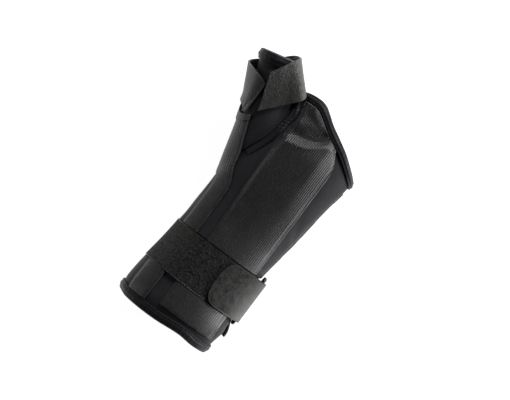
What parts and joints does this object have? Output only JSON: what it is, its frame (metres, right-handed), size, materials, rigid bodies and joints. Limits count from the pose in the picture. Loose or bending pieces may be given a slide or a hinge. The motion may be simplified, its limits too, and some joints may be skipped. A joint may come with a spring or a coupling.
{
  "type": "thumb spica splint",
  "caption": "Padded wrist and thumb splint: an open forearm sleeve with a palm pocket, a flared thumb tube, bound edges, a ring strap and a thumb strap.",
  "frame": {"origin": "middle of the overall box in X and Y, on the surface that the splint rests on", "axes": "+Y from the forearm end to the finger end, +X from the thumb side to the little finger side, +Z from the back of the hand to the palm"},
  "size_m": [0.125, 0.2316, 0.0619],
  "materials": {
    "neoprene": "matt nylon-faced foam",
    "webbing": "ribbed woven webbing",
    "binding_tape": "satin folded binding",
    "loop_pile": "fuzzy loop pile",
    "hook_strap": "grainy hook-and-loop webbing",
    "ring_plastic": "moulded, slightly glossy"
  },
  "bodies": {
    "root": {"sleeve": "neoprene", "dorsal_flap": "neoprene", "thumb_wrap": "neoprene", "palm_panel": "webbing", "thumb_stay_strip": "webbing", "ring_tab": "webbing", "thenar_binding": "binding_tape", "thumb_hem": "binding_tape", "wrist_binding": "binding_tape", "palm_binding": "binding_tape", "wrist_strap": "loop_pile", "thumb_strap": "hook_strap", "mid_strap": "hook_strap", "hand_strap": "hook_strap", "strap_ring": "ring_plastic"}
  },
  "joints": []
}
